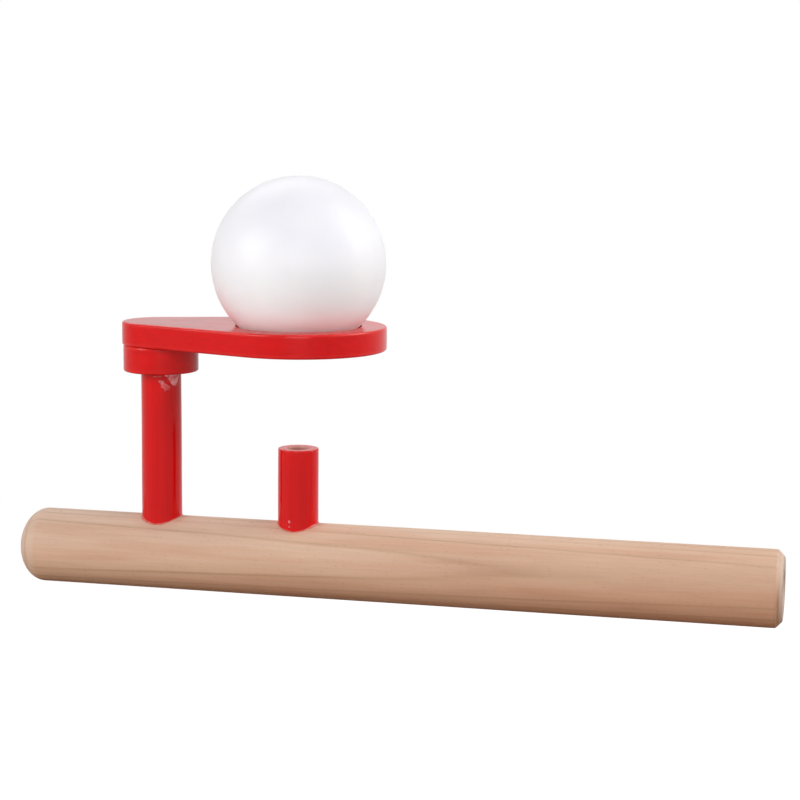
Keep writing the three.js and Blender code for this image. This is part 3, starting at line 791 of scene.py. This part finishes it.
def glue_drop(name, height, size, glue):
    """A drop of glue on the front left of the nozzle: height = h + s cos a, radius = 0.85 s sin a."""
    angle = np.linspace(0, np.pi, 17)
    section = np.stack([height + size * np.cos(angle), 0.85 * size * np.sin(angle)], -1)
    section[[0, -1], 1] = 0
    toward = FRONT - DROP_TURN
    at = (NOZZLE_X + NOZZLE_RADIUS * np.cos(toward), NOZZLE_RADIUS * np.sin(toward), 0)
    drop = turned(name, section, at, sides=24)
    mark(drop, "milk", np.full(len(drop.data.vertices), 0.5))
    dress(drop, "pipe", "clear_glue", ["nozzle_glue_bead"], glue)


def inside(corners, across, down):
    """How far each point lies inside a convex outline, whose corners turn from across towards down: the
    least distance to the lines through its sides, negative outside."""
    outline = np.asarray(corners, float)
    ahead = np.roll(outline, -1, 0) - outline
    ahead /= np.linalg.norm(ahead, axis=1, keepdims=True)
    gaps = [(across - px) * -dy + (down - py) * dx for (px, py), (dx, dy) in zip(outline, ahead)]
    return np.min(gaps, axis=0)


# The outlines of the torn film and of the tongue of glue under the collar, in millimetres: round the post
# from its front to the right, and down from the collar
FILM = [(0.4, 0.1), (5.0, 0.1), (4.6, 1.4), (3.6, 3.4), (2.7, 3.1)]
TONGUE = [(-1.1, 1.7), (0.1, 1.35), (2.4, 3.4), (1.8, 4.2), (0.8, 4.5)]


def collar_glue(glue):
    """Glue under the collar: a thin bead all round the post with a lip on the front left, and on the front
    right a torn film and a tongue that ran down. The skin of the glue stands over the post by a thickness
    that is a function of the distance s round the post and z down from the collar, and dips into the post
    where there is none."""
    angle = np.linspace(0, 2 * np.pi, 480, endpoint=False)[None, :]
    turn = (angle - FRONT + np.pi) % (2 * np.pi) - np.pi
    across = turn * POST_RADIUS / MM
    down = np.linspace(-0.05, 5.2, 100)[:, None]
    reach = 0.75 + 0.16 * np.sin(3 * angle + 0.6) + 0.08 * np.sin(7 * angle)
    bead = 0.5 * np.clip(1 - down / reach, 0, 1) ** 2
    torn = 0.07 * (np.sin(7 * across + 2 * down) + np.sin(6 * down - 3 * across + 1)
                   + np.sin(15 * across - 9 * down))
    film = torn + inside(FILM, across, down)
    tongue = torn + inside(TONGUE, across, down)
    lip = np.exp(-((across + 0.9) / 1.1) ** 4) * np.exp(-((down - 0.8 - 0.04 * across ** 2) / 0.16) ** 2)
    ripple = 1 + 0.12 * np.sin(2.2 * across + 1.5 * down) + 0.06 * np.sin(3.5 * down - 1.5 * across)

    def sheet(depth, thick, ease):
        """A flat-topped sheet with a round edge, from how deep inside its outline a point lies."""
        share = np.clip(depth / ease, 0, 1)
        return thick * np.sqrt(share * (2 - share)) * ripple

    thick = np.max([bead, sheet(film, 0.24, 0.5), sheet(tongue, 0.3, 0.6), 0.16 * lip], axis=0) - 0.05
    within = POST_RADIUS - 0.3 * MM + 0 * angle
    radius = np.concatenate([POST_RADIUS + thick * MM, within, within])
    height = np.concatenate([down, down[[-1, 0]]]) * MM
    grid = np.stack([POST_X + radius * np.cos(angle), radius * np.sin(angle),
                     collar_low.z - height + 0 * angle], -1)
    film_cloud = 0.66 * np.clip(film / 0.16, 0, 1) * np.clip(1.1 - 0.3 * film, 0, 1)
    tongue_cloud = np.clip(tongue / 0.3, 0, 1) * np.clip(0.4 - 0.1 * (down - 1.5), 0.12, 0.4)
    cloudy = np.max([0.02 + 0 * film, film_cloud, tongue_cloud, 0.32 * lip], axis=0)
    milk = np.concatenate([cloudy, cloudy[[-1, 0]]])
    seal = skin("collar_glue", grid, closed_rows=True)
    mark(seal, "milk", milk.ravel())
    dress(seal, "pipe", "clear_glue", ["collar_glue_bead"], glue)


def rays(tree, *kinds):
    """1 for a ray of one of these kinds, such as Camera or Glossy, and 0 for the rest."""
    path = add(tree, "ShaderNodeLightPath")
    found = path.outputs[f"Is {kinds[0]} Ray"]
    for kind in kinds[1:]:
        found = add(tree, "ShaderNodeMath", {0: found, 1: path.outputs[f"Is {kind} Ray"]},
                    operation="MAXIMUM")
    return found


def make_floor():
    """A wide pale table, with the toy held up over it. It looks white, with the toy's shadow on it. Straight
    under the toy it throws back a warm dull light, and further out a white one."""
    half = 4000 * MM
    level = pipe_low.z - FLOOR_DROP
    mesh = bpy.data.meshes.new("floor")
    mesh.from_pydata([(-half, -half, level), (half, -half, level), (half, half, level), (-half, half, level)],
                     [], [(0, 1, 2, 3)])
    floor = bpy.data.objects.new("floor", mesh)
    bpy.context.scene.collection.objects.link(floor)
    material, tree, out = blank("white_table")
    white = add(tree, "ShaderNodeEmission", {"Color": colour("ffffff"), "Strength": 1.0})

    spot = stretched(tree, TABLE_SPREAD, 1.0, ENDLESS, place=(-MIDDLE.x, 0, 0))
    off = add(tree, "ShaderNodeVectorMath", {0: spot}, operation="LENGTH").outputs["Value"]
    outward = add(tree, "ShaderNodeMapRange", {"Value": off, "From Min": DULL_TO, "From Max": WHITE_FROM},
                  interpolation_type="SMOOTHSTEP")
    tone = add(tree, "ShaderNodeMix",
               {SHARE: outward, FIRST: colour(TABLE_UNDER_TOY), SECOND: colour(TABLE_FURTHER_OUT)},
               **OVER).outputs[BLENDED]
    thrown = add(tree, "ShaderNodeBsdfDiffuse", {"Color": tone})
    pale = add(tree, "ShaderNodeEmission", {"Color": colour("ffffff"), "Strength": MIRRORED_LIGHT})
    mirrored = add(tree, "ShaderNodeMixShader", {0: outward, 1: thrown, 2: pale})
    back = add(tree, "ShaderNodeMixShader", {0: rays(tree, "Glossy"), 1: thrown, 2: mirrored})

    card = add(tree, "ShaderNodeBsdfDiffuse", {"Color": colour(TABLE_SEEN)})
    glow = add(tree, "ShaderNodeEmission", {"Color": colour("ffffff"), "Strength": TABLE_GLOW})
    lit = add(tree, "ShaderNodeAddShader", {0: card, 1: glow})
    fade = add(tree, "ShaderNodeMapRange", {"Value": off, "From Min": SHADOW_TO, "From Max": SHADOW_OFF},
               interpolation_type="SMOOTHSTEP")
    seen = add(tree, "ShaderNodeMixShader", {0: fade, 1: lit, 2: white})
    looked_at = rays(tree, "Camera", "Transmission")
    both = add(tree, "ShaderNodeMixShader", {0: looked_at, 1: back, 2: seen})
    tree.links.new(both.outputs[0], out.inputs["Surface"])
    mesh.materials.append(material)


# The table: its depth under the pipe, the colours it throws back under the toy and further out with where
# the one ends and the other starts, how much longer than wide these places are, what the camera sees of it,
# and where its shadow starts to fade and is gone
FLOOR_DROP = 62 * MM
TABLE_UNDER_TOY = "5e402f"
TABLE_FURTHER_OUT = "e7e7e7"
DULL_TO = 80 * MM
WHITE_FROM = 300 * MM
TABLE_SPREAD = 1.6
TABLE_SEEN = "e6e6e6"
TABLE_GLOW = 0.45
SHADOW_TO = 120 * MM
SHADOW_OFF = 420 * MM

# The studio: the soft light all round, the brightness of the surroundings in a reflection, and the soft
# lamps, which all look at the middle of the toy from the same distance. A lamp has its turn from the camera's
# side, to the right, and its rise, both in degrees, and its power in watts.
ROOM_LIGHT = 0.04
MIRRORED_LIGHT = 0.87
MIDDLE = Vector((-40, 0, 30)) * MM
LAMP_DISTANCE = 700 * MM
LAMP_WIDTH = 360 * MM
LAMPS = {
    "front_left": (-60, 20, 2.7),
    "front": (0, 15, 1.65),
    "front_right": (60, 20, 0.55),
    "right": (95, 30, 2.55),
    "right_high": (95, 50, 1.0),
    "back": (180, 50, 0.6),
    "back_left": (-145, 45, 0.95),
}


def light_studio():
    """Puts up the lamps and the white room."""
    ahead = np.arctan2(CAMERA_PLACE.y - MIDDLE.y, CAMERA_PLACE.x - MIDDLE.x)
    for name, (turn, rise, power) in LAMPS.items():
        round_toy, up = ahead + np.radians(turn), np.radians(rise)
        way = Vector((np.cos(round_toy) * np.cos(up), np.sin(round_toy) * np.cos(up), np.sin(up)))
        data = bpy.data.lights.new(name, "AREA")
        data.shape = "SQUARE"
        data.size = LAMP_WIDTH
        data.energy = power
        lamp = bpy.data.objects.new(name, data)
        bpy.context.scene.collection.objects.link(lamp)
        lamp.location = MIDDLE + way * LAMP_DISTANCE
        lamp.rotation_mode = "QUATERNION"
        lamp.rotation_quaternion = (-way).to_track_quat("-Z", "Y")
    world = bpy.data.worlds.new("studio")
    bpy.context.scene.world = world
    world.use_nodes = True
    tree = world.node_tree
    tree.nodes.clear()
    soft = add(tree, "ShaderNodeBackground", {"Color": colour("ffffff"), "Strength": ROOM_LIGHT})
    pale = add(tree, "ShaderNodeBackground", {"Color": colour("ffffff"), "Strength": MIRRORED_LIGHT})
    white = add(tree, "ShaderNodeBackground", {"Color": colour("ffffff"), "Strength": 1.0})
    thrown = add(tree, "ShaderNodeMixShader", {0: rays(tree, "Glossy"), 1: soft, 2: pale})
    looked_at = rays(tree, "Camera", "Transmission")
    mixed = add(tree, "ShaderNodeMixShader", {0: looked_at, 1: thrown, 2: white})
    out = add(tree, "ShaderNodeOutputWorld")
    tree.links.new(mixed.outputs[0], out.inputs["Surface"])


make_camera()
dowel_lacquer = red_lacquer("red_lacquer_on_dowel", "Z")
board_lacquer = red_lacquer("red_lacquer_on_board", "X")
thin_glue = dried_glue("dried_glue_on_lacquer", "cf0d0e", "ffb6bb", 0.26)
foot_glue = dried_glue("dried_glue_on_wood", "c0463c", "d39280", 0.4)
make_pipe()
make_post(dowel_lacquer)
make_nozzle(dowel_lacquer, drilled_beech())
make_collar(board_lacquer)
make_plate(board_lacquer)
make_ball(blown_plastic())
foot_bead("post_foot_glue", "post_glue_bead", POST_X, POST_RADIUS, foot_glue, phase=0.4)
foot_bead("nozzle_foot_glue", "nozzle_glue_bead", NOZZLE_X, NOZZLE_RADIUS, foot_glue, phase=2.1)
collar_glue(thin_glue)
glue_drop("nozzle_glue_drop_high", PIPE_RADIUS + 1.0 * MM, 0.34 * MM, thin_glue)
glue_drop("nozzle_glue_drop_low", PIPE_RADIUS - 0.1 * MM, 0.28 * MM, thin_glue)
make_floor()
light_studio()

view = bpy.context.scene.view_settings
view.view_transform = "Standard"
